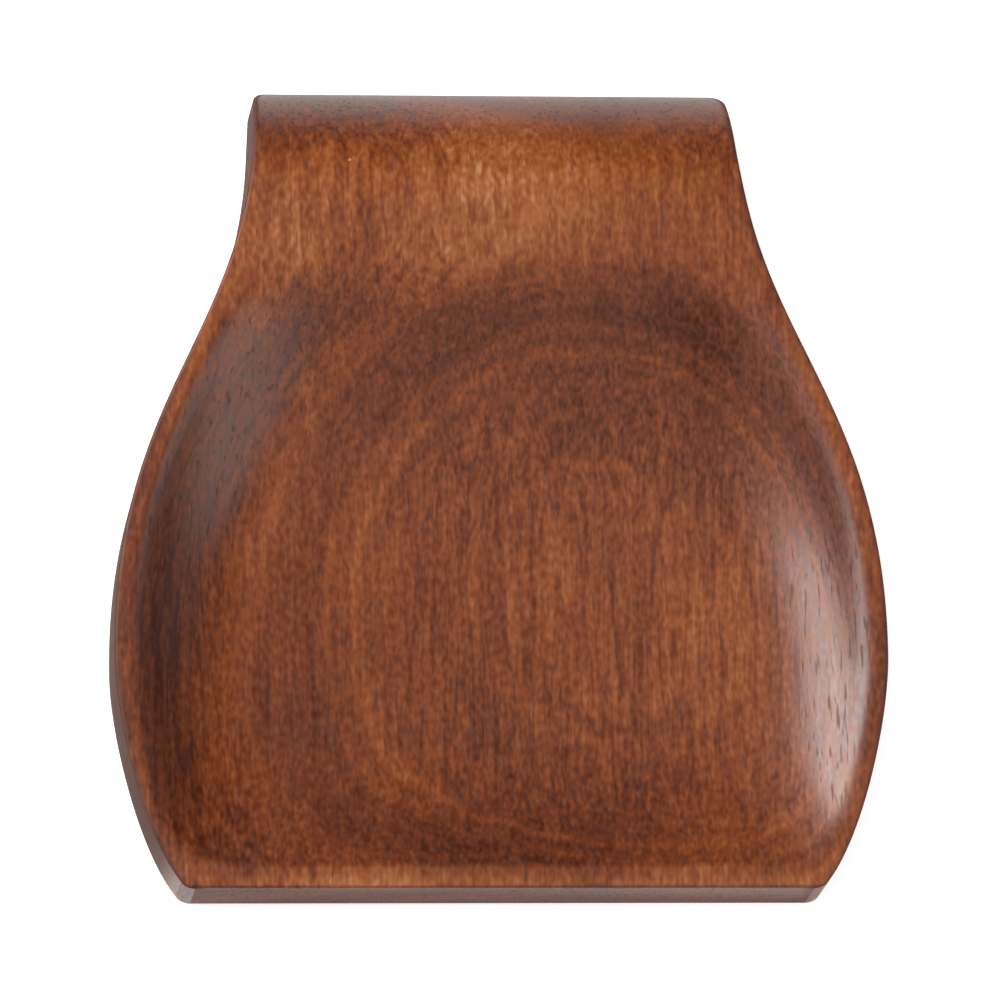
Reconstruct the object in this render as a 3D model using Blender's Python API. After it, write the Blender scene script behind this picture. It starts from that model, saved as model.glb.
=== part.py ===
"""Carved wooden spoon rest: a bell-shaped tray and its raised neck, cut from one hardwood block.

The frame is in metres: X across, with the part symmetric about X = 0, +Y from the front rim
to the neck, +Z up, and the origin under the middle of the part, on the surface it stands on.

The block is lofted through upright cross-sections that stand side by side along Y. Three things
give each cross-section its size: the bell outline seen from above, the side profile of the top
face with its rolled neck end, and the depth of the dish that is scooped out between the rims.
"""

import math

import bmesh
import bpy
import numpy as np

# Bell outline, seen from above
LENGTH = 0.120
FRONT_WIDTH = 0.0915
BELLY_WIDTH = 0.1119
WAIST_WIDTH = 0.0701
NECK_END_WIDTH = 0.0690
BELLY_FROM_FRONT = 0.0338
WAIST_FROM_END = 0.0095
FRONT_FLARE = math.radians(46.0)
FLARE_REACH = 0.0078
BELLY_REACH_FRONT = 0.0096
BELLY_REACH_BACK = 0.0382
WAIST_REACH = 0.0310
FRONT_CORNER_RADIUS = 0.0030
NECK_CORNER_RADIUS = 0.0035

# Side profile of the top face
NECK_HEIGHT = 0.0205
FRONT_HEIGHT = 0.0125
CREST_FROM_END = 0.0205
ROLL_RADIUS = 0.0185
TOP_EDGE_RADIUS = 0.0005
LOW_EDGE_RADIUS = 0.0010

# Rims, each measured to the lip where the dish wall begins
SIDE_RIM = 0.0034
SIDE_RIM_AT_FRONT = 0.0020
SIDE_RIM_AT_NECK = 0.0018
WIDEST_RIM_FROM_FRONT = 0.0540
FRONT_RIM = 0.0031

# Dish walls: softness is the share of the wall's height over which its lip is rounded
DISH_CORNER_BLEND = 0.0070
WALL_RUN = 0.0150
FRONT_WALL_RUN = 0.0190
WALL_STEEPNESS = math.radians(50.0)
LIP_SOFTNESS = 0.27
FRONT_LIP_SOFTNESS = 0.11

# Dish floor and its sweep up to the neck
FLOOR_THICKNESS = 0.0068
LOW_POINT_FROM_FRONT = 0.0480
CREST_RADIUS = 0.0300
CREST_SOFTNESS = 0.0006
CREST_BLEND = 0.0060
FLOOR_CUP_RADIUS = 0.70

# Facets
OUTLINE_POINTS = 120
CORNER_STEPS = 4
EDGE_STEPS = 3
LIP_STEPS = 4
WALL_STEPS = 9
FLOOR_STEPS = 9
FLOOR_STATION_GAP = 0.0030
CREST_STATION_GAP = 0.0018
ROLL_STEPS = 11
LEAST_RIM = 0.0002
SHARP_ANGLE = math.radians(32.0)
WELD_DISTANCE = 0.000001

# Oiled reddish-brown hardwood under a satin varnish
WOOD_COLOUR = (0.185, 0.066, 0.026, 1.0)
WOOD_ROUGHNESS = 0.42

# Places that follow from the sizes
FRONT_Y = -LENGTH / 2
END_Y = LENGTH / 2
CREST_Y = END_Y - CREST_FROM_END
LOW_Y = FRONT_Y + LOW_POINT_FROM_FRONT
DISH_FRONT_Y = FRONT_Y + FRONT_RIM
WIDEST_RIM_Y = FRONT_Y + WIDEST_RIM_FROM_FRONT
ROLL = min(ROLL_RADIUS, NECK_HEIGHT - 2 * LOW_EDGE_RADIUS)
ROLL_Y = END_Y - ROLL
CORNER_TURN = math.pi / 2 - FRONT_FLARE


def clear_scene():
    """Remove every object, so that the part stands alone."""
    for thing in list(bpy.data.objects):
        bpy.data.objects.remove(thing, do_unlink=True)


def bezier(start, leave, arrive, end):
    """Points of one cubic curve, as rows of (x, y)."""
    t = np.linspace(0.0, 1.0, OUTLINE_POINTS)[:, None]
    s = 1.0 - t
    return s**3 * start + 3 * s**2 * t * leave + 3 * s * t**2 * arrive + t**3 * end


def bell_outline():
    """Right-hand side of the bell: flare, belly, waist and the straight neck, front to back."""
    front = np.array([FRONT_WIDTH / 2, FRONT_Y])
    belly = np.array([BELLY_WIDTH / 2, FRONT_Y + BELLY_FROM_FRONT])
    waist = np.array([WAIST_WIDTH / 2, END_Y - WAIST_FROM_END])
    neck_end = np.array([NECK_END_WIDTH / 2, END_Y])
    flare = np.array([math.sin(FRONT_FLARE), math.cos(FRONT_FLARE)])
    along = np.array([0.0, 1.0])
    neck = (neck_end - waist) / np.linalg.norm(neck_end - waist)
    lower = bezier(front, front + FLARE_REACH * flare, belly - BELLY_REACH_FRONT * along, belly)
    upper = bezier(belly, belly + BELLY_REACH_BACK * along, waist - WAIST_REACH * neck, waist)
    return np.vstack([lower, upper[1:], neck_end])


OUTLINE = bell_outline()


def quarter_round(distance, radius):
    """How far a rounded corner has drawn in, at a distance from the end it turns into."""
    inside = np.clip(radius - distance, 0.0, radius)
    return radius - np.sqrt(np.maximum(radius**2 - inside**2, 0.0))


def soft_least(first, second, blend):
    """The lesser of two values, with the corner where they cross rounded off as a parabola."""
    near = np.maximum(blend - np.abs(first - second), 0.0)
    return np.minimum(first, second) - near**2 / (4 * np.maximum(blend, WELD_DISTANCE))


def half_width(y):
    """Half the width of the bell at y, with the upright corners of both ends rounded.

    At the front an arc takes over from the outline, tangent to the front rim and to the flare.
    """
    width = np.interp(y, OUTLINE[:, 1], OUTLINE[:, 0]) - quarter_round(END_Y - y, NECK_CORNER_RADIUS)
    reach = np.clip(y - FRONT_Y, 0.0, FRONT_CORNER_RADIUS)
    start = FRONT_WIDTH / 2 - FRONT_CORNER_RADIUS * math.tan(CORNER_TURN / 2)
    arc = start + np.sqrt(reach * (2 * FRONT_CORNER_RADIUS - reach))
    return np.where(reach < FRONT_CORNER_RADIUS * (1 - math.cos(CORNER_TURN)), arc, width)


def outline_stretch(y):
    """Length of the outline per unit of y, which turns a square-on width into one along X."""
    step = FLOOR_STATION_GAP / 4
    across = np.interp(y + step, OUTLINE[:, 1], OUTLINE[:, 0])
    across = across - np.interp(y - step, OUTLINE[:, 1], OUTLINE[:, 0])
    return np.hypot(1.0, across / (2 * step))


def top_height(y):
    """Side profile of the uncut block: planed rim slope, level neck and its rolled end."""
    rise = (y - FRONT_Y) / (CREST_Y - FRONT_Y)
    planed = FRONT_HEIGHT + (NECK_HEIGHT - FRONT_HEIGHT) * np.clip(rise, 0.0, 1.0)
    return planed - quarter_round(END_Y - y, ROLL)


def sweep_height(y):
    """Centre line of the dish: level neck, crest arc, long sweep down, and the low floor."""
    run = CREST_Y - LOW_Y
    drop = NECK_HEIGHT - FLOOR_THICKNESS
    slope = 2.0 * math.atan2(drop, run)
    sweep_radius = run / math.sin(slope) - CREST_RADIUS
    join_y = CREST_Y - CREST_RADIUS * math.sin(slope)
    from_crest = np.clip(CREST_Y - y, 0.0, CREST_Y - join_y)
    crest = NECK_HEIGHT - CREST_RADIUS + np.sqrt(CREST_RADIUS**2 - from_crest**2)
    from_low = np.clip(y - LOW_Y, 0.0, join_y - LOW_Y)
    sweep = FLOOR_THICKNESS + sweep_radius - np.sqrt(sweep_radius**2 - from_low**2)
    return np.where(y > join_y, crest, sweep)


def rim_width(y):
    """Width of the side rim at y, square to the outline."""
    forward = np.clip((WIDEST_RIM_Y - y) / (WIDEST_RIM_Y - DISH_FRONT_Y), 0.0, 1.0)
    back = np.clip((y - WIDEST_RIM_Y) / (CREST_Y - WIDEST_RIM_Y), 0.0, 1.0)
    narrowed = (SIDE_RIM - SIDE_RIM_AT_FRONT) * forward**2 + (SIDE_RIM - SIDE_RIM_AT_NECK) * back**2
    return SIDE_RIM - narrowed


def inside_edge(x, y):
    """Distance inside the lip of the dish, measured in wall runs of the side."""
    side = (half_width(y) - np.abs(x)) / outline_stretch(y) - rim_width(y)
    front = (y - DISH_FRONT_Y) * WALL_RUN / FRONT_WALL_RUN
    return soft_least(side, front, DISH_CORNER_BLEND)


def lip_slope():
    """Rise of the wall at its lip, as a share of its height per unit of distance."""
    steep = math.sin(WALL_STEEPNESS)
    return steep**2 / (WALL_RUN * math.cos(WALL_STEEPNESS) * (1.0 - math.cos(WALL_STEEPNESS)))


def wall_share(inside, softness):
    """Height of the dish wall as a share: an elliptical fillet that rounds over into the rim."""
    reach = np.clip(1.0 - inside / WALL_RUN, 0.0, 1.0) * math.sin(WALL_STEEPNESS)
    fillet = (1.0 - np.sqrt(1.0 - reach**2)) / (1.0 - math.cos(WALL_STEEPNESS))
    return soft_least(1.0, fillet + lip_slope() * np.maximum(-inside, 0.0), softness)


def surface_height(x, y):
    """Height of the carved top face: rims, neck, dish walls and floor."""
    top = top_height(y)
    cup = (x**2 + np.minimum(y - LOW_Y, 0.0)**2) / (2 * FLOOR_CUP_RADIUS)
    fade = np.clip((CREST_Y + CREST_BLEND / 2 - y) / CREST_BLEND, 0.0, 1.0)
    bottom = soft_least(sweep_height(y) + cup, top, CREST_SOFTNESS * fade)
    from_front = np.clip((y - DISH_FRONT_Y) / DISH_CORNER_BLEND, 0.0, 1.0)
    softness = FRONT_LIP_SOFTNESS + (LIP_SOFTNESS - FRONT_LIP_SOFTNESS) * from_front
    return bottom + (top - bottom) * wall_share(inside_edge(x, y), softness)


def lip_half_width(y):
    """Half the width of the dish at y, measured to its lip, with the front corners drawn in."""
    front = np.clip((y - DISH_FRONT_Y) * WALL_RUN / FRONT_WALL_RUN, 0.0, DISH_CORNER_BLEND)
    corner = (math.sqrt(DISH_CORNER_BLEND) - np.sqrt(front))**2
    return half_width(y) - (rim_width(y) + corner) * outline_stretch(y)


def station_places():
    """Y of every cross-section, front to back, closest where the body turns most."""
    places = []
    for step in range(CORNER_STEPS + 1):
        angle = CORNER_TURN * step / CORNER_STEPS
        places.append(FRONT_Y + FRONT_CORNER_RADIUS * (1.0 - math.cos(angle)))
    band = FRONT_LIP_SOFTNESS / lip_slope() * FRONT_WALL_RUN / WALL_RUN
    places.append((places[-1] + DISH_FRONT_Y - band) / 2)
    places += [DISH_FRONT_Y - band, DISH_FRONT_Y, DISH_FRONT_Y + band]
    for step in range(1, WALL_STEPS + 1):
        places.append(DISH_FRONT_Y + band + (FRONT_WALL_RUN - band) * wall_reach(step))
    steep_y = CREST_Y - CREST_RADIUS / 2
    places += spaced(DISH_FRONT_Y + FRONT_WALL_RUN, steep_y, FLOOR_STATION_GAP)
    places += spaced(steep_y, CREST_Y, CREST_STATION_GAP)
    places += spaced(CREST_Y, ROLL_Y, CREST_STATION_GAP)
    for step in range(1, ROLL_STEPS + 1):
        places.append(ROLL_Y + ROLL * math.sin(math.pi / 2 * step / ROLL_STEPS))
    return places


def wall_reach(step):
    """Share of the wall's run at one of its steps, spaced so that the wall turns evenly."""
    angle = WALL_STEEPNESS * (1.0 - step / WALL_STEPS)
    return 1.0 - math.sin(angle) / math.sin(WALL_STEEPNESS)


def spaced(start, end, gap):
    """Even places after start, up to and including end."""
    count = max(1, math.ceil((end - start) / gap))
    return [start + (end - start) * step / count for step in range(1, count + 1)]


def quarter_turn():
    """Angles of the steps round an edge, from 0 to a right angle."""
    return [math.pi / 2 * step / EDGE_STEPS for step in range(EDGE_STEPS + 1)]


def right_side(y):
    """Right half of one cross-section, from the underside round to the centre of the top."""
    width = float(half_width(y))
    low = float(max(quarter_round(y - FRONT_Y, LOW_EDGE_RADIUS), quarter_round(END_Y - y, LOW_EDGE_RADIUS)))
    drop = float(quarter_round(y - FRONT_Y, TOP_EDGE_RADIUS))
    low_round = LOW_EDGE_RADIUS - low
    top_round = TOP_EDGE_RADIUS - drop
    top = float(top_height(y)) - drop
    points = []
    for angle in quarter_turn():
        points.append((width - low_round * (1 - math.sin(angle)), low + low_round * (1 - math.cos(angle))))
    for angle in quarter_turn():
        points.append((width - top_round * (1 - math.cos(angle)), top - top_round * (1 - math.sin(angle))))
    for x in dish_places(y, width - top_round):
        points.append((x, float(surface_height(x, y)) - drop))
    return points


def dish_places(y, edge):
    """X of the points inside the top edge: round the lip, down the wall, and in to the centre."""
    stretch = float(outline_stretch(y))
    band = LIP_SOFTNESS / lip_slope() * stretch
    lip = min(float(lip_half_width(y)), edge - band - LEAST_RIM)
    foot = lip - WALL_RUN * stretch
    places = [lip + band * (1 - 2 * step / LIP_STEPS) for step in range(LIP_STEPS + 1)]
    places += [lip - band - (lip - band - foot) * wall_reach(step) for step in range(1, WALL_STEPS + 1)]
    return places + [foot * (1 - step / FLOOR_STEPS) for step in range(1, FLOOR_STEPS + 1)]


def cross_section(y):
    """One closed ring of points, both halves, in order round the block."""
    right = right_side(y)
    left = [(-x, z) for x, z in reversed(right[:-1])]
    return [(x, y, z) for x, z in right + left]


def loft(name, rings):
    """Skin a closed body over the rings and cap its two ends."""
    body = bmesh.new()
    loops = [[body.verts.new(point) for point in ring] for ring in rings]
    for near, far in zip(loops[:-1], loops[1:]):
        for index in range(len(near)):
            after = (index + 1) % len(near)
            body.faces.new((near[index], near[after], far[after], far[index]))
    body.faces.new(list(reversed(loops[0])))
    body.faces.new(loops[-1])
    bmesh.ops.remove_doubles(body, verts=body.verts, dist=WELD_DISTANCE)
    bmesh.ops.recalc_face_normals(body, faces=body.faces)
    mesh = bpy.data.meshes.new(name)
    body.to_mesh(mesh)
    body.free()
    return mesh


def wood_material():
    """Varnished hardwood."""
    material = bpy.data.materials.new("varnished_wood")
    material.use_nodes = True
    shader = material.node_tree.nodes["Principled BSDF"]
    shader.inputs["Base Color"].default_value = WOOD_COLOUR
    shader.inputs["Roughness"].default_value = WOOD_ROUGHNESS
    shader.inputs["Metallic"].default_value = 0.0
    return material


def make_spoon_rest():
    """The whole rest: one carved piece with its dish, rims and rolled neck."""
    rings = [cross_section(y) for y in station_places()]
    mesh = loft("carved_body", rings)
    mesh.materials.append(wood_material())
    mesh.shade_smooth()
    mesh.set_sharp_from_angle(angle=SHARP_ANGLE)
    body = bpy.data.objects.new("carved_body", mesh)
    bpy.context.scene.collection.objects.link(body)
    return body


clear_scene()
make_spoon_rest()
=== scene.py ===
"""Looks of a carved wooden spoon rest: one block of varnished reddish-brown hardwood.

Metres, +Y towards the raised neck, +Z up, origin under the middle of the rest, which stands on z = 0.
"""

import math

import bpy
import numpy as np
from mathutils import Matrix, Vector


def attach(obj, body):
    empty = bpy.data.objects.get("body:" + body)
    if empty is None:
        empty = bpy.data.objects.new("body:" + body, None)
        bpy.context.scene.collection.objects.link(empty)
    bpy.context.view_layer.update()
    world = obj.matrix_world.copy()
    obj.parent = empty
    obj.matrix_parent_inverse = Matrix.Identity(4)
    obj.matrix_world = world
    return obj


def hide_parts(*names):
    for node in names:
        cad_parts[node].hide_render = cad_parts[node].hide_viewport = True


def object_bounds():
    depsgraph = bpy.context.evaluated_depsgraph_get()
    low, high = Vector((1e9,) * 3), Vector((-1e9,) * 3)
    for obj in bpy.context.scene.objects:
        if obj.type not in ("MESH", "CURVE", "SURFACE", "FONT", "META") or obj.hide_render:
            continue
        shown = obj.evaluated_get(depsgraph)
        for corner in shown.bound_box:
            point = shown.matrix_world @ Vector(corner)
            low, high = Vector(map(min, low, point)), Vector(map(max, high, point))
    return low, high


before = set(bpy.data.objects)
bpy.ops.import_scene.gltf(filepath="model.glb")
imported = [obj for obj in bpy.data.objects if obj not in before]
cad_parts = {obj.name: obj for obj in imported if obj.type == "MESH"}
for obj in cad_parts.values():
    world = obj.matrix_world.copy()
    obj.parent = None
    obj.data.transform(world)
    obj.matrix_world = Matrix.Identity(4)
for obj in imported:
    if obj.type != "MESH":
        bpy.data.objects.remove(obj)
cad_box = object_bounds()


# The photographer's view
# The rest was photographed from nearly straight above, a little in front and to its left, with a
# long lens. The frame is turned so that the front rim lies level in it.
VIEW_AZIMUTH = math.radians(-23.46)
VIEW_ELEVATION = math.radians(75.60)
VIEW_TURN = math.radians(22.96)
VIEW_DISTANCE = 1.413
MILLIMETRES = 1000.0
SENSOR = 0.036
PIXELS_PER_METRE = 6850.5
FRAME_PIXELS = 1000
SUBJECT_LEFT_OF_MIDDLE = 10.6
SUBJECT_BELOW_MIDDLE = 0.4

towards_camera = Vector((
    math.sin(VIEW_AZIMUTH) * math.cos(VIEW_ELEVATION),
    -math.cos(VIEW_AZIMUTH) * math.cos(VIEW_ELEVATION),
    math.sin(VIEW_ELEVATION),
))
level_right = Vector((math.cos(VIEW_AZIMUTH), math.sin(VIEW_AZIMUTH), 0.0))
level_up = towards_camera.cross(level_right)
turn = Matrix.Rotation(VIEW_TURN, 3, towards_camera)
axes = Matrix((turn @ level_right, turn @ level_up, towards_camera)).transposed()

lens = bpy.data.cameras.new("long_lens")
lens.sensor_width = SENSOR * MILLIMETRES
lens.lens = SENSOR * MILLIMETRES * PIXELS_PER_METRE * VIEW_DISTANCE / FRAME_PIXELS
lens.shift_x = SUBJECT_LEFT_OF_MIDDLE / FRAME_PIXELS
lens.shift_y = SUBJECT_BELOW_MIDDLE / FRAME_PIXELS
camera = bpy.data.objects.new("camera", lens)
camera.matrix_world = Matrix.Translation(towards_camera * VIEW_DISTANCE) @ axes.to_4x4()
bpy.context.scene.collection.objects.link(camera)
bpy.context.scene.camera = camera
bpy.context.scene.view_settings.view_transform = "Standard"


# Node helpers, first needed by the white table and its room
def new_material(name):
    """An empty node material with its output, as (material, node tree)."""
    material = bpy.data.materials.new(name)
    material.use_nodes = True
    tree = material.node_tree
    tree.nodes.clear()
    tree.nodes.new("ShaderNodeOutputMaterial").name = "output"
    return material, tree


def put(tree, kind, settings=(), **sockets):
    """Add one node, set its properties, and set or link its sockets by name."""
    node = tree.nodes.new(kind)
    for name, value in dict(settings).items():
        setattr(node, name, value)
    for name, value in sockets.items():
        plug(tree, node.inputs[name.replace("_", " ")], value)
    return node


def plug(tree, socket, value):
    """Link an output to a socket, or write a plain value into it."""
    if isinstance(value, bpy.types.NodeSocket):
        tree.links.new(value, socket)
    else:
        socket.default_value = value


def maths(tree, operation, *values):
    """One Math node, as its output."""
    node = put(tree, "ShaderNodeMath", {"operation": operation})
    for socket, value in zip(node.inputs, values):
        plug(tree, socket, value)
    return node.outputs[0]


def along(tree, vector, way):
    """Dot product of a vector and a constant one."""
    node = put(tree, "ShaderNodeVectorMath", {"operation": "DOT_PRODUCT"})
    plug(tree, node.inputs[0], vector)
    node.inputs[1].default_value = way
    return node.outputs["Value"]


def within(tree, value, low, high):
    """Smooth step from 0 at low to 1 at high."""
    node = put(tree, "ShaderNodeMapRange", {"interpolation_type": "SMOOTHSTEP"}, Value=value)
    node.inputs["From Min"].default_value = low
    node.inputs["From Max"].default_value = high
    return node.outputs["Result"]


# Table and light
# A white table under three large soft boxes: a bright one low on the left, a weaker one low on the
# right, and one overhead, in a dim room that is brighter towards the left. The table is matt white,
# and for the camera and in reflections it glows just enough to look pure white.
TABLE_SIZE = 6.0
TABLE_DROP = 0.0001
TABLE_WHITE = 0.80
TABLE_GLOW = 0.42
CAMERA_GLOW = 0.16
ROOM_DIM_SIDE = 0.03
ROOM_BRIGHT_SIDE = 0.34
ROOM_BRIGHT_TOWARDS = Vector((-0.66, 0.34, 0.67))
ROOM_BRIGHT_EDGE = 0.55
# Each soft box: the direction it stands in, its distance and width in metres, and its watts
SOFT_BOXES = {
    "window": (Vector((-0.765, 0.27, 0.58)), 0.90, 0.60, 10.6),
    "reflector": (Vector((0.70, -0.50, 0.50)), 0.90, 0.95, 5.0),
    "overhead": (Vector((-0.10, 0.00, 1.0)), 1.60, 1.20, 9.7),
}

material, tree = new_material("white_table")
matt = put(tree, "ShaderNodeBsdfDiffuse", Color=(TABLE_WHITE, TABLE_WHITE, TABLE_WHITE, 1.0))
path = put(tree, "ShaderNodeLightPath")
mirrored = maths(tree, "MAXIMUM", path.outputs["Is Glossy Ray"], path.outputs["Is Transmission Ray"])
mirrored = maths(tree, "MULTIPLY", mirrored, TABLE_GLOW)
seen = maths(tree, "MULTIPLY_ADD", path.outputs["Is Camera Ray"], TABLE_GLOW + CAMERA_GLOW, mirrored)
glow = put(tree, "ShaderNodeEmission", Strength=seen)
both = put(tree, "ShaderNodeAddShader")
plug(tree, both.inputs[0], matt.outputs[0])
plug(tree, both.inputs[1], glow.outputs[0])
plug(tree, tree.nodes["output"].inputs["Surface"], both.outputs[0])

half = TABLE_SIZE / 2
corners = ((-half, -half), (half, -half), (half, half), (-half, half))
mesh = bpy.data.meshes.new("table_top")
mesh.from_pydata([(x, y, -TABLE_DROP) for x, y in corners], [], [(0, 1, 2, 3)])
mesh.materials.append(material)
table_top = bpy.data.objects.new("table_top", mesh)
bpy.context.scene.collection.objects.link(table_top)

room = bpy.data.worlds.new("bright_room")
room.use_nodes = True
tree = room.node_tree
tree.nodes.clear()
background = put(tree, "ShaderNodeBackground", Color=(1.0, 1.0, 1.0, 1.0))
way = put(tree, "ShaderNodeTexCoord").outputs["Generated"]
share = within(tree, along(tree, way, ROOM_BRIGHT_TOWARDS.normalized()), ROOM_BRIGHT_EDGE, 1.0)
light = maths(tree, "MULTIPLY_ADD", share, ROOM_BRIGHT_SIDE - ROOM_DIM_SIDE, ROOM_DIM_SIDE)
camera_ray = put(tree, "ShaderNodeLightPath").outputs["Is Camera Ray"]
level = put(tree, "ShaderNodeMix", Factor=camera_ray, A=light, B=1.0)
plug(tree, background.inputs["Strength"], level.outputs[0])
put(tree, "ShaderNodeOutputWorld", Surface=background.outputs[0])
bpy.context.scene.world = room

for name, (direction, distance, size, watts) in SOFT_BOXES.items():
    lamp = bpy.data.lights.new(name, "AREA")
    lamp.shape = "DISK"
    lamp.size = size
    lamp.energy = watts
    soft_box = bpy.data.objects.new(name, lamp)
    soft_box.location = direction.normalized() * distance
    soft_box.rotation_euler = direction.to_track_quat("Z", "Y").to_euler()
    soft_box.visible_glossy = name != "overhead"
    bpy.context.scene.collection.objects.link(soft_box)


# Carved body
# The whole rest is one block of hardwood: sawn to a bell outline, planed to a slope, scooped into
# a dish with narrow rims, swept up to a level neck, rolled over at the far end, and sanded.
LENGTH = 0.120
FRONT_WIDTH = 0.0915
BELLY_WIDTH = 0.1119
WAIST_WIDTH = 0.0701
NECK_END_WIDTH = 0.0690
BELLY_FROM_FRONT = 0.0338
WAIST_FROM_END = 0.0095
FRONT_FLARE = math.radians(46.0)
FLARE_REACH = 0.0078
BELLY_REACH_FRONT = 0.0096
BELLY_REACH_BACK = 0.0382
WAIST_REACH = 0.0310
FRONT_CORNER_RADIUS = 0.0030
NECK_CORNER_RADIUS = 0.0035
NECK_HEIGHT = 0.0205
FRONT_HEIGHT = 0.0125
CREST_FROM_END = 0.0205
ROLL_RADIUS = 0.0185
TOP_EDGE_RADIUS = 0.0005
LOW_EDGE_RADIUS = 0.0010
SIDE_RIM = 0.0034
SIDE_RIM_AT_FRONT = 0.0020
SIDE_RIM_AT_NECK = 0.0018
WIDEST_RIM_FROM_FRONT = 0.0540
FRONT_RIM = 0.0031
DISH_CORNER_BLEND = 0.0070
WALL_RUN = 0.0150
FRONT_WALL_RUN = 0.0190
WALL_STEEPNESS = math.radians(50.0)
LIP_SOFTNESS = 0.27
FRONT_LIP_SOFTNESS = 0.11
FLOOR_THICKNESS = 0.0068
LOW_POINT_FROM_FRONT = 0.0480
CREST_RADIUS = 0.0300
CREST_SOFTNESS = 0.0006
CREST_BLEND = 0.0060
FLOOR_CUP_RADIUS = 0.70
FRONT_Y = -LENGTH / 2
END_Y = LENGTH / 2
CREST_Y = END_Y - CREST_FROM_END
LOW_Y = FRONT_Y + LOW_POINT_FROM_FRONT
DISH_FRONT_Y = FRONT_Y + FRONT_RIM
ROLL_Y = END_Y - ROLL_RADIUS
WIDEST_RIM_Y = FRONT_Y + WIDEST_RIM_FROM_FRONT
CORNER_TURN = math.pi / 2 - FRONT_FLARE
OUTLINE_STEP = 0.0008
TINY = 1e-12


def bezier(start, leave, arrive, end, count=400):
    """Cubic curve: the four points weighed by (1-t)^3, 3(1-t)^2 t, 3(1-t) t^2 and t^3."""
    t = np.linspace(0.0, 1.0, count)[:, None]
    s = 1.0 - t
    return s**3 * start + 3 * s**2 * t * leave + 3 * s * t**2 * arrive + t**3 * end


def bell_outline():
    """Right side of the bell: one curve from the flared front to the belly, one on to the waist."""
    front = np.array([FRONT_WIDTH / 2, FRONT_Y])
    belly = np.array([BELLY_WIDTH / 2, FRONT_Y + BELLY_FROM_FRONT])
    waist = np.array([WAIST_WIDTH / 2, END_Y - WAIST_FROM_END])
    neck_end = np.array([NECK_END_WIDTH / 2, END_Y])
    flare = np.array([math.sin(FRONT_FLARE), math.cos(FRONT_FLARE)])
    backwards = np.array([0.0, 1.0])
    neck = (neck_end - waist) / np.linalg.norm(neck_end - waist)
    lower = bezier(front, front + FLARE_REACH * flare, belly - BELLY_REACH_FRONT * backwards, belly)
    upper = bezier(belly, belly + BELLY_REACH_BACK * backwards, waist - WAIST_REACH * neck, waist)
    return np.vstack([lower, upper[1:], neck_end])


OUTLINE = bell_outline()


def quarter_round(distance, radius):
    """Drop of a quarter circle at a distance from its end: r - sqrt(r^2 - (r - distance)^2)."""
    inside = np.clip(radius - distance, 0.0, radius)
    return radius - np.sqrt(np.maximum(radius**2 - inside**2, 0.0))


def soft_least(first, second, blend):
    """The lesser of two heights, less a quarter blend where they meet, as a parabola."""
    near = np.maximum(blend - np.abs(first - second), 0.0)
    return np.minimum(first, second) - near**2 / np.maximum(4 * blend, TINY)


def half_width(y):
    """Half the bell's width at y, less the quarter round at its neck end.

    At the front corner an arc takes over, tangent to the front rim and to the flare.
    """
    width = np.interp(y, OUTLINE[:, 1], OUTLINE[:, 0]) - quarter_round(END_Y - y, NECK_CORNER_RADIUS)
    reach = np.clip(y - FRONT_Y, 0.0, FRONT_CORNER_RADIUS)
    arc = FRONT_WIDTH / 2 - FRONT_CORNER_RADIUS * math.tan(CORNER_TURN / 2)
    arc = arc + np.sqrt(reach * (2 * FRONT_CORNER_RADIUS - reach))
    width = np.where(reach < FRONT_CORNER_RADIUS * (1 - math.cos(CORNER_TURN)), arc, width)
    return np.minimum(width, cad_box[1][0])


def outline_stretch(y):
    """Length of the outline per unit of y: the root of one plus its slope squared."""
    across = np.interp(y + OUTLINE_STEP, OUTLINE[:, 1], OUTLINE[:, 0])
    across = across - np.interp(y - OUTLINE_STEP, OUTLINE[:, 1], OUTLINE[:, 0])
    return np.hypot(1.0, across / (2 * OUTLINE_STEP))


def top_height(y):
    """Planed slope from the front to the crest, then level, less the quarter round of the roll."""
    rise = (y - FRONT_Y) / (CREST_Y - FRONT_Y)
    planed = FRONT_HEIGHT + (NECK_HEIGHT - FRONT_HEIGHT) * np.clip(rise, 0.0, 1.0)
    return planed - quarter_round(END_Y - y, ROLL_RADIUS)


def sweep_height(y):
    """Dish along its centre: level at the low point, a long arc up, and a small arc over the crest."""
    run = CREST_Y - LOW_Y
    drop = NECK_HEIGHT - FLOOR_THICKNESS
    slope = 2.0 * math.atan2(drop, run)
    sweep_radius = run / math.sin(slope) - CREST_RADIUS
    join_y = CREST_Y - CREST_RADIUS * math.sin(slope)
    from_crest = np.clip(CREST_Y - y, 0.0, CREST_Y - join_y)
    crest = NECK_HEIGHT - CREST_RADIUS + np.sqrt(CREST_RADIUS**2 - from_crest**2)
    from_low = np.clip(y - LOW_Y, 0.0, join_y - LOW_Y)
    sweep = FLOOR_THICKNESS + sweep_radius - np.sqrt(sweep_radius**2 - from_low**2)
    return np.where(y > join_y, crest, sweep)


def rim_width(y):
    """Width of the side rim: two parabolas down from its widest place, to the front and the crest."""
    forward = np.clip((WIDEST_RIM_Y - y) / (WIDEST_RIM_Y - DISH_FRONT_Y), 0.0, 1.0)
    back = np.clip((y - WIDEST_RIM_Y) / (CREST_Y - WIDEST_RIM_Y), 0.0, 1.0)
    return SIDE_RIM - (SIDE_RIM - SIDE_RIM_AT_FRONT) * forward**2 - (SIDE_RIM - SIDE_RIM_AT_NECK) * back**2


def inside_edge(x, y):
    """Distance inside the dish's lip: the lesser of those from the side and from the front, blended."""
    side = (half_width(y) - np.abs(x)) / outline_stretch(y) - rim_width(y)
    front = (y - DISH_FRONT_Y) * WALL_RUN / FRONT_WALL_RUN
    return soft_least(side, front, DISH_CORNER_BLEND)


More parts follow.
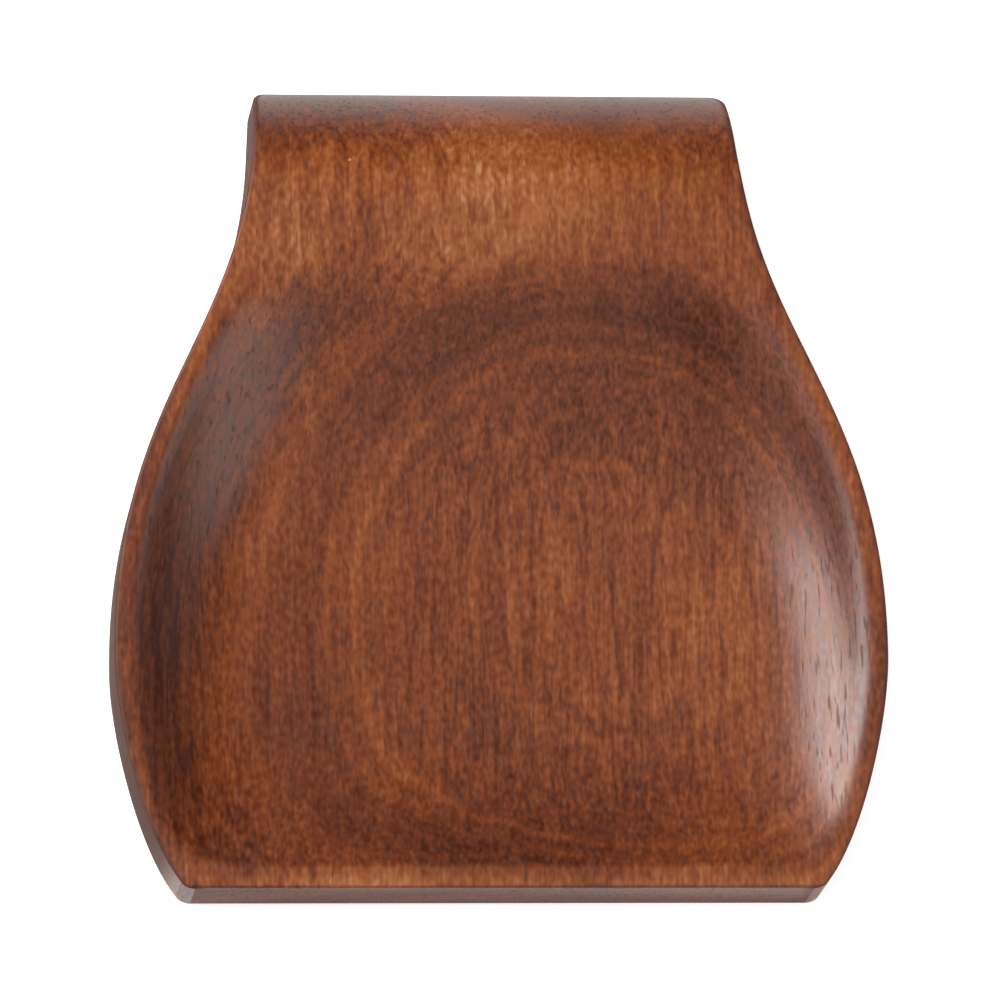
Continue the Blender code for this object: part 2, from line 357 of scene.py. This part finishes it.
def wall_share(inside, softness):
    """Wall height as a share: an elliptical fillet, carried on straight past the lip and softened."""
    steep = math.sin(WALL_STEEPNESS)
    foot = 1.0 - math.cos(WALL_STEEPNESS)
    reach = np.clip(1.0 - inside / WALL_RUN, 0.0, 1.0) * steep
    fillet = (1.0 - np.sqrt(1.0 - reach**2)) / foot
    slope = steep**2 / (WALL_RUN * math.cos(WALL_STEEPNESS) * foot)
    return soft_least(1.0, fillet + slope * np.maximum(-inside, 0.0), softness)


def surface_height(x, y):
    """Carved top face: the floor, plus the share of the way up to the planed top that its wall has."""
    top = top_height(y)
    cup = (x**2 + np.minimum(y - LOW_Y, 0.0)**2) / (2 * FLOOR_CUP_RADIUS)
    fade = np.clip((CREST_Y + CREST_BLEND / 2 - y) / CREST_BLEND, 0.0, 1.0)
    bottom = soft_least(sweep_height(y) + cup, top, CREST_SOFTNESS * fade)
    back = np.clip((y - DISH_FRONT_Y) / DISH_CORNER_BLEND, 0.0, 1.0)
    softness = FRONT_LIP_SOFTNESS + (LIP_SOFTNESS - FRONT_LIP_SOFTNESS) * back
    return bottom + (top - bottom) * wall_share(inside_edge(x, y), softness)


def lip_half_width(y):
    """Half the dish's width at y, to its lip: at its front corners, root side + root front = root blend."""
    front = np.clip((y - DISH_FRONT_Y) * WALL_RUN / FRONT_WALL_RUN, 0.0, DISH_CORNER_BLEND)
    corner = (math.sqrt(DISH_CORNER_BLEND) - np.sqrt(front))**2
    return half_width(y) - (rim_width(y) + corner) * outline_stretch(y)


def even_turn(steps):
    """Shares of the wall's run at which its fillet has turned by equal angles, lip to foot."""
    angle = WALL_STEEPNESS * (1.0 - np.arange(steps + 1) / steps)
    return 1.0 - np.sin(angle) / math.sin(WALL_STEEPNESS)


CORNER_STEPS = 14
RIM_STEPS = 4
LIP_STEPS = 20
LIP_BAND = 0.0016
WALL_STEPS = 26
FLOOR_STEPS = 44
FLOOR_GAP = 0.0007
CREST_GAP = 0.0004
ROLL_STEPS = 44
EDGE_STEPS = 8
UNDERSIDE_STEPS = 8
CAP_INSET = 0.0002


def station_places():
    """Y of every cross-section, closest where the body turns most."""
    corner = FRONT_Y + FRONT_CORNER_RADIUS * (1.0 - np.cos(np.linspace(0.0, CORNER_TURN, CORNER_STEPS + 1)))
    edge = FRONT_Y + np.linspace(corner[-1] - FRONT_Y, TOP_EDGE_RADIUS + LOW_EDGE_RADIUS, RIM_STEPS + 1)[1:]
    lip = DISH_FRONT_Y + np.linspace(-LIP_BAND, LIP_BAND, LIP_STEPS)
    wall = DISH_FRONT_Y + FRONT_WALL_RUN * even_turn(WALL_STEPS)
    wall = wall[wall > DISH_FRONT_Y + LIP_BAND]
    steep_y = CREST_Y - CREST_RADIUS / 2
    floor = np.arange(DISH_FRONT_Y + FRONT_WALL_RUN + FLOOR_GAP, steep_y, FLOOR_GAP)
    crest = np.arange(steep_y, ROLL_Y - CREST_GAP / 2, CREST_GAP)
    roll = ROLL_Y + ROLL_RADIUS * np.sin(np.linspace(0.0, math.pi / 2, ROLL_STEPS + 1))
    return np.concatenate([corner, edge[edge < lip[0]], lip, wall, floor, crest, roll])


def half_rings(y, cap):
    """Right halves of the cross-sections, underside centre to top centre, as two arrays (y, step).

    Underside, a quarter circle up to the side wall, another one over the top edge, the rim, the
    softened lip, the dish wall in equal turns, and the floor in equal steps to the centre.
    """
    y = y[:, None]
    cap = cap[:, None]
    width = half_width(y) - cap
    low = quarter_round(np.minimum(y - FRONT_Y, END_Y - y), LOW_EDGE_RADIUS) + cap
    drop = quarter_round(y - FRONT_Y, TOP_EDGE_RADIUS) + cap
    low_radius = np.maximum(LOW_EDGE_RADIUS - low, 0.0)
    top_radius = np.maximum(TOP_EDGE_RADIUS - drop, 0.0)
    turned = np.linspace(0.0, math.pi / 2, EDGE_STEPS + 1)[None, :]
    out = np.linspace(0.0, 1.0, UNDERSIDE_STEPS + 1)[None, :-1]
    under_x = (width - low_radius) * out
    under_z = low + 0.0 * under_x
    low_x = width - low_radius * (1.0 - np.sin(turned))
    low_z = low + low_radius * (1.0 - np.cos(turned))
    edge_x = width - top_radius * (1.0 - np.cos(turned))
    edge_z = top_height(y) - drop - top_radius * (1.0 - np.sin(turned))
    stretch = outline_stretch(y)
    lip = np.minimum(lip_half_width(y), width - top_radius - LIP_BAND * stretch)
    rim = np.linspace(0.0, 1.0, RIM_STEPS + 1)[None, 1:-1]
    rim_x = (width - top_radius) * (1.0 - rim) + (lip + LIP_BAND * stretch) * rim
    lip_x = lip + stretch * np.linspace(LIP_BAND, -LIP_BAND, LIP_STEPS)[None, :]
    down = even_turn(WALL_STEPS)
    down = down[down * WALL_RUN > LIP_BAND][None, :]
    wall_x = lip - WALL_RUN * stretch * down
    foot = wall_x[:, -1:]
    floor_x = foot * (1.0 - np.linspace(0.0, 1.0, FLOOR_STEPS + 1)[None, 1:])
    top_x = np.hstack([rim_x, lip_x, wall_x, floor_x])
    top_z = surface_height(top_x, y + 0.0 * top_x) - drop
    return np.hstack([under_x, low_x, edge_x, top_x]), np.hstack([under_z, low_z, edge_z, top_z])


def closed_loft():
    """Points and faces of the body: mirrored half rings, skinned, with a flat cap at either end."""
    y = station_places()
    y = np.concatenate([[FRONT_Y], y, [END_Y]])
    cap = np.zeros(len(y))
    cap[[0, -1]] = CAP_INSET
    x, z = half_rings(y, cap)
    x = np.hstack([x, -x[:, -2:0:-1]])
    z = np.hstack([z, z[:, -2:0:-1]])
    across = np.broadcast_to(y[:, None], x.shape)
    points = np.stack([x, across, z], axis=-1).reshape(-1, 3)
    rings, steps = x.shape
    near = np.arange(rings - 1)[:, None] * steps
    here = np.arange(steps)[None, :]
    after = (here + 1) % steps
    quads = np.stack([near + here, near + steps + here, near + steps + after, near + after], axis=-1)
    caps = [list(range(steps)), list(range(rings * steps - 1, (rings - 1) * steps - 1, -1))]
    return points, quads.reshape(-1, 4), caps


# Shares the mesh carries: the hollow's depth, painted darker as shade; a painted shade just inside the lip;
# and the top edge, painted darker as shade, and rougher and bare of varnish
HOLLOW_DEPTH = 0.0032
LIP_SHADE_START = 0.0010
LIP_SHADE_END = 0.0065
LIP_SHADE_BACK_Y = 0.0200
LIP_DARK_AT = 0.0005
LIP_DARK_REACH = 0.0022
LIP_DARK_Y = (FRONT_Y + 0.006, FRONT_Y + 0.014, LIP_SHADE_BACK_Y, LIP_SHADE_BACK_Y + 0.010)
LIP_DARK_SHARES = (0.80, 0.35, 0.35, 0.0)
EDGE_REACH = 0.0010
EDGE_DEPTH = 0.00049


def falling(distance, start, end):
    """Share of 1 up to start, then straight down to 0 at end."""
    return np.clip((end - distance) / (end - start), 0.0, 1.0)


def shade_and_finish_shares(x, y, z):
    """Shares of 0 to 1 at each point, by name.

    Hollow is the dish's depth over a set depth. The share under the lip, a painted shade, is the square of
    the nearness to the lip times the square of the nearness to the front, or the dark band along the lip
    where that is more.
    Edge falls straight from the side wall inwards, on the top face only.
    """
    hollow = np.clip((top_height(y) - surface_height(x, y)) / HOLLOW_DEPTH, 0.0, 1.0)
    under_lip = inside_edge(x, y)
    lip_shade = falling(under_lip, LIP_SHADE_START, LIP_SHADE_END)**2 * falling(y, FRONT_Y, LIP_SHADE_BACK_Y)**2
    lip_shade = lip_shade * np.clip(under_lip / LIP_SHADE_START, 0.0, 1.0) * np.clip(2 * hollow, 0.0, 1.0)
    band = falling(np.abs(under_lip - LIP_DARK_AT), 0.0, LIP_DARK_REACH) * (z > LOW_EDGE_RADIUS)
    band = band * np.interp(y, LIP_DARK_Y, LIP_DARK_SHARES)
    to_side = (half_width(y) - np.abs(x)) / outline_stretch(y)
    edge = falling(to_side, 0.0, EDGE_REACH) * (z > top_height(y) - EDGE_DEPTH)
    return {"hollow": hollow, "lip_shade": np.maximum(lip_shade, band), "edge": edge}


points, quads, caps = closed_loft()
mesh = bpy.data.meshes.new("carved_wood")
mesh.from_pydata(points.tolist(), [], quads.tolist() + caps)
mesh.shade_smooth()
for name, share in shade_and_finish_shares(*points.T).items():
    mesh.attributes.new(name, "FLOAT", "POINT").data.foreach_set("value", share.astype(np.float32))
carved_wood = bpy.data.objects.new("carved_wood", mesh)
bpy.context.scene.collection.objects.link(carved_wood)

# The board was cut beside the pith, so its growth surfaces are bowls, nested under the dish. Lengths
# in the figure are millimetres, and a year is a distance through those surfaces
PITH_X = 18.0
PITH_Y = -18.0
BOWL_ACROSS = 0.0067
BOWL_OPENING = 0.00007
BOWL_ALONG = 0.00351
BOWL_EASING = -0.00002
TILT_ALONG = -0.01465
TWIST = 0.00171
WOBBLE = 1.1
WAVE = 0.9
GROWTH_SPAN = 66.0
GROWTH_YEARS = (
    (0.0, 0.50), (7.9, 0.56), (11.0, 0.42), (15.0, 0.54), (17.8, 0.72), (20.6, 0.34), (24.2, 0.34),
    (28.4, 0.82), (33.4, 0.50), (37.0, 0.24), (41.0, 0.42), (45.0, 0.70), (50.0, 0.42), (58.0, 0.62),
)
FIGURED_YEARS = ((0.0, 1.0), (12.0, 1.0), (17.0, 0.3), (27.0, 0.3), (31.0, 1.0), (46.0, 1.0), (52.0, 0.4))
LINES_PER_YEAR = 0.8
LINE_OCTAVES = 1.0
# Each grain: how it is squeezed along x, y and z, its waves per millimetre, its octaves, their roughness
GRAINS = {
    "wave": ((1.0, 0.5, 1.0), 0.30, 1.0, 0.50),
    "cloud": ((1.0, 0.4, 1.0), 0.09, 2.0, 0.50),
    "wobble": ((1.0, 0.25, 1.0), 0.16, 2.0, 0.50),
    "streaks": ((1.0, 0.055, 1.0), 0.95, 1.4, 0.55),
    "mottle": ((1.0, 0.5, 1.0), 1.7, 0.4, 0.50),
    "veins": ((1.0, 0.075, 1.0), 0.55, 1.5, 0.50),
    "pores": ((1.0, 0.11, 1.0), 1.9, 1.0, 0.50),
}
VEIN_HALF_WIDTH = 0.080
PORE_EDGE = (0.60, 0.72)
FIBRE_WAY = (0.0, 0.992, -0.122)
SIDE_WAY = (1.0, 0.0, 0.0)
SIDE_FACING = (0.80, 0.95)
# Painted shade and painted light by place on the board, partly the board's own tone: the way each one
# deepens, and where it starts and ends along that way. The smaller ones also hold their darkening, which is
# below zero where they paint light
FRONT_PAINTED_SHADE = ((-0.35, -1.0, 0.0), -4.0, 54.0)
LEFT_PAINTED_SHADE = ((-1.0, 0.0, 0.0), 42.0, 54.0)
SMALLER_PAINTED_SHADES_AND_LIGHTS = (
    ((0.80, 0.40, 0.0), 12.0, 44.0, 0.18),
    ((1.0, 0.14, 0.0), 38.0, 50.0, 0.12),
    ((0.95, -0.3, 0.0), 28.0, 42.0, -0.12),
    ((0.3, -1.0, 0.0), 50.0, 62.0, -0.07),
    ((0.6, -1.0, 0.0), 46.0, 72.0, 0.14),
    ((-0.6, 1.0, 0.0), 48.0, 74.0, 0.20),
)
SPECK = (-21.4, 45.95, 19.95)
SPECK_EDGE = (0.40, 0.10)
SPECK_PALENESS = 0.50
WOOD_TONES = (
    (0.00, (0.050, 0.009, 0.002)), (0.28, (0.116, 0.023, 0.004)), (0.50, (0.192, 0.043, 0.006)),
    (0.72, (0.280, 0.082, 0.018)), (1.00, (0.415, 0.194, 0.102)),
)
BASE_TONE = 0.70
RING_TONE = 0.30
LINE_TONE = 0.22
STREAK_TONE = 0.36
STREAK_TONE_IF_FIGURED = 0.06
MOTTLE_TONE = 0.44
MOTTLE_TONE_IF_FIGURED = 0.04
CLOUD_TONE = 0.26
VEIN_DARKENING = 0.14
PORE_DARKENING = 0.18
# The darkenings from the cut to the edge paint shade into the wood: the cut one is partly the end grain's own
# darker tone, and the front and left ones partly the board's own tone
CUT_AND_SLOPE_SHADE_DARKENING = 0.42
SIDE_SHADE_DARKENING = 0.46
HOLLOW_SHADE_DARKENING = 0.16
LIP_SHADE_DARKENING = 0.42
FRONT_DARKENING = 0.20
LEFT_DARKENING = 0.25
EDGE_SHADE_DARKENING = 0.26
BASE_ROUGHNESS = 0.40
SIDE_ROUGHNESS = 0.50
CUT_ROUGHNESS = 0.14
PORE_ROUGHNESS = 0.25
EDGE_ROUGHNESS = 0.35
MOTTLE_ROUGHNESS = 0.22
STREAK_ROUGHNESS = 0.18
VARNISH = 0.20
VARNISH_ROUGHNESS = 0.30
RELIEF_DEPTH = 0.000032
MOTTLE_RELIEF = 0.8
PORE_RELIEF = -0.15


def squeezed(tree, vector, factors):
    """A vector times three constants."""
    node = put(tree, "ShaderNodeVectorMath", {"operation": "MULTIPLY"})
    plug(tree, node.inputs[0], vector)
    node.inputs[1].default_value = factors
    return node.outputs[0]


def grain(tree, vector, name):
    """Noise of 0 to 1 in a squeezed space, as the named grain says."""
    squeeze, scale, octaves, roughness = GRAINS[name]
    vector = squeezed(tree, vector, squeeze)
    node = put(tree, "ShaderNodeTexNoise", Vector=vector, Scale=scale, Detail=octaves, Roughness=roughness)
    return node.outputs["Fac"]


def ramp(tree, value, stops, span=1.0, ease="LINEAR"):
    """Colour ramp over 0 to span, from (place, grey or colour) pairs."""
    node = put(tree, "ShaderNodeValToRGB", Fac=maths(tree, "DIVIDE", value, span))
    node.color_ramp.interpolation = ease
    for index, (place, colour) in enumerate(stops):
        shade = colour if isinstance(colour, tuple) else (colour, colour, colour)
        element = node.color_ramp.elements[index] if index < 2 else node.color_ramp.elements.new(place / span)
        element.position = place / span
        element.color = (*shade, 1.0)
    return node.outputs["Color"]


def growth(tree, x, y, z):
    """Growth surface through a point, where dx and dy are its distances from the pith.

    z + (bowl across + opening dy) dx^2 + (tilt + twist dx + (bowl along + easing dy) dy) dy.
    """
    dx = maths(tree, "SUBTRACT", x, PITH_X)
    dy = maths(tree, "SUBTRACT", y, PITH_Y)
    across = maths(tree, "MULTIPLY_ADD", dy, BOWL_OPENING, BOWL_ACROSS)
    across = maths(tree, "MULTIPLY", across, maths(tree, "MULTIPLY", dx, dx))
    lengthwise = maths(tree, "MULTIPLY_ADD", dy, BOWL_EASING, BOWL_ALONG)
    lengthwise = maths(tree, "MULTIPLY_ADD", lengthwise, dy, TILT_ALONG)
    lengthwise = maths(tree, "MULTIPLY_ADD", dx, TWIST, lengthwise)
    return maths(tree, "ADD", z, maths(tree, "MULTIPLY_ADD", lengthwise, dy, across))


def carried(tree, name):
    """A share of 0 to 1 that the mesh carries at its points."""
    return put(tree, "ShaderNodeAttribute", {"attribute_name": name}).outputs["Fac"]


def deepening(tree, vector, way, start, end):
    """Smooth step from 0 at start to 1 at end, both measured along a constant way."""
    return within(tree, along(tree, vector, way), start, end)


def with_shares(tree, base, *shares):
    """base, plus each share times its weight."""
    for share, weight in shares:
        base = maths(tree, "MULTIPLY_ADD", share, weight, base)
    return base


def with_swings(tree, base, *swings):
    """base, plus each value's distance from one half times its weight."""
    for value, weight in swings:
        base = maths(tree, "MULTIPLY_ADD", maths(tree, "SUBTRACT", value, 0.5), weight, base)
    return base


material, tree = new_material("varnished_wood")
board = squeezed(tree, put(tree, "ShaderNodeTexCoord").outputs["Object"], (MILLIMETRES,) * 3)
place = put(tree, "ShaderNodeSeparateXYZ", Vector=board)
sway = with_swings(tree, 0.0, (grain(tree, board, "wave"), WAVE))
wavy = put(tree, "ShaderNodeVectorMath", {"operation": "ADD"})
plug(tree, wavy.inputs[0], board)
plug(tree, wavy.inputs[1], put(tree, "ShaderNodeCombineXYZ", X=sway).outputs[0])
wavy = wavy.outputs[0]

# The figure: growth rings and the fine lines in them, and fibres that sway from side to side
year = with_swings(tree, growth(tree, *place.outputs), (grain(tree, board, "wobble"), 2 * WOBBLE))
rings = ramp(tree, year, GROWTH_YEARS, GROWTH_SPAN, "EASE")
figured = ramp(tree, year, FIGURED_YEARS, GROWTH_SPAN, "EASE")
lines = put(
    tree, "ShaderNodeTexNoise", {"noise_dimensions": "1D"}, W=year, Scale=LINES_PER_YEAR, Detail=LINE_OCTAVES,
).outputs["Fac"]
cloud = grain(tree, board, "cloud")
streaks = grain(tree, wavy, "streaks")
mottle = grain(tree, wavy, "mottle")
off_vein = maths(tree, "ABSOLUTE", maths(tree, "SUBTRACT", grain(tree, board, "veins"), 0.5))
veins = maths(tree, "MULTIPLY", within(tree, off_vein, VEIN_HALF_WIDTH, 0.0), figured)
pores = within(tree, grain(tree, board, "pores"), *PORE_EDGE)

# Where it was cut across the fibres: darker end grain, with painted shade on the slopes that face along the
# board.
# Painted shade in the hollow, just inside the lip, on the upright sides and on the top edge, and painted
# shade and painted light by place on the board, partly the board's own tone
normal = put(tree, "ShaderNodeNewGeometry").outputs["Normal"]
cut = maths(tree, "ABSOLUTE", along(tree, normal, FIBRE_WAY))
side = within(tree, maths(tree, "ABSOLUTE", along(tree, normal, SIDE_WAY)), *SIDE_FACING)
hollow, lip_shade, edge = (carried(tree, name) for name in ("hollow", "lip_shade", "edge"))
front = maths(tree, "MULTIPLY", deepening(tree, board, *FRONT_PAINTED_SHADE), hollow)
left = deepening(tree, board, *LEFT_PAINTED_SHADE)
figured = maths(tree, "SUBTRACT", figured, maths(tree, "MULTIPLY", figured, left))

streak_tone = with_shares(tree, STREAK_TONE, (figured, STREAK_TONE_IF_FIGURED))
mottle_tone = with_shares(tree, MOTTLE_TONE, (figured, MOTTLE_TONE_IF_FIGURED))
tone = with_swings(
    tree, BASE_TONE, (rings, RING_TONE), (lines, LINE_TONE), (streaks, streak_tone), (mottle, mottle_tone),
    (cloud, CLOUD_TONE),
)
tone = with_shares(
    tree, tone, (veins, -VEIN_DARKENING), (pores, -PORE_DARKENING), (cut, -CUT_AND_SLOPE_SHADE_DARKENING),
    (side, -SIDE_SHADE_DARKENING), (hollow, -HOLLOW_SHADE_DARKENING), (lip_shade, -LIP_SHADE_DARKENING),
    (front, -FRONT_DARKENING), (left, -LEFT_DARKENING), (edge, -EDGE_SHADE_DARKENING),
)
for way, start, end, darkening in SMALLER_PAINTED_SHADES_AND_LIGHTS:
    tone = with_shares(tree, tone, (deepening(tree, board, way, start, end), -darkening))
from_speck = put(tree, "ShaderNodeVectorMath", {"operation": "DISTANCE"})
plug(tree, from_speck.inputs[0], board)
from_speck.inputs[1].default_value = SPECK
speck = within(tree, from_speck.outputs["Value"], *SPECK_EDGE)
tone = with_shares(tree, tone, (speck, SPECK_PALENESS))

rough = with_shares(
    tree, BASE_ROUGHNESS, (side, SIDE_ROUGHNESS), (cut, CUT_ROUGHNESS), (pores, PORE_ROUGHNESS),
    (edge, EDGE_ROUGHNESS),
)
rough = with_swings(tree, rough, (mottle, MOTTLE_ROUGHNESS), (streaks, STREAK_ROUGHNESS))
bare = maths(tree, "MAXIMUM", side, edge)
relief = with_shares(tree, 0.0, (pores, PORE_RELIEF))
relief = with_swings(tree, relief, (streaks, 1.0), (mottle, MOTTLE_RELIEF))
bump = put(tree, "ShaderNodeBump", Strength=1.0, Distance=RELIEF_DEPTH, Height=relief)

wood = put(tree, "ShaderNodeBsdfPrincipled", Base_Color=ramp(tree, tone, WOOD_TONES))
plug(tree, wood.inputs["Roughness"], rough)
plug(tree, wood.inputs["Coat Weight"], with_shares(tree, VARNISH, (bare, -VARNISH)))
wood.inputs["Coat Roughness"].default_value = VARNISH_ROUGHNESS
plug(tree, wood.inputs["Normal"], bump.outputs["Normal"])
plug(tree, tree.nodes["output"].inputs["Surface"], wood.outputs[0])
mesh.materials.append(material)
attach(carved_wood, "root")
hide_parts("carved_body")
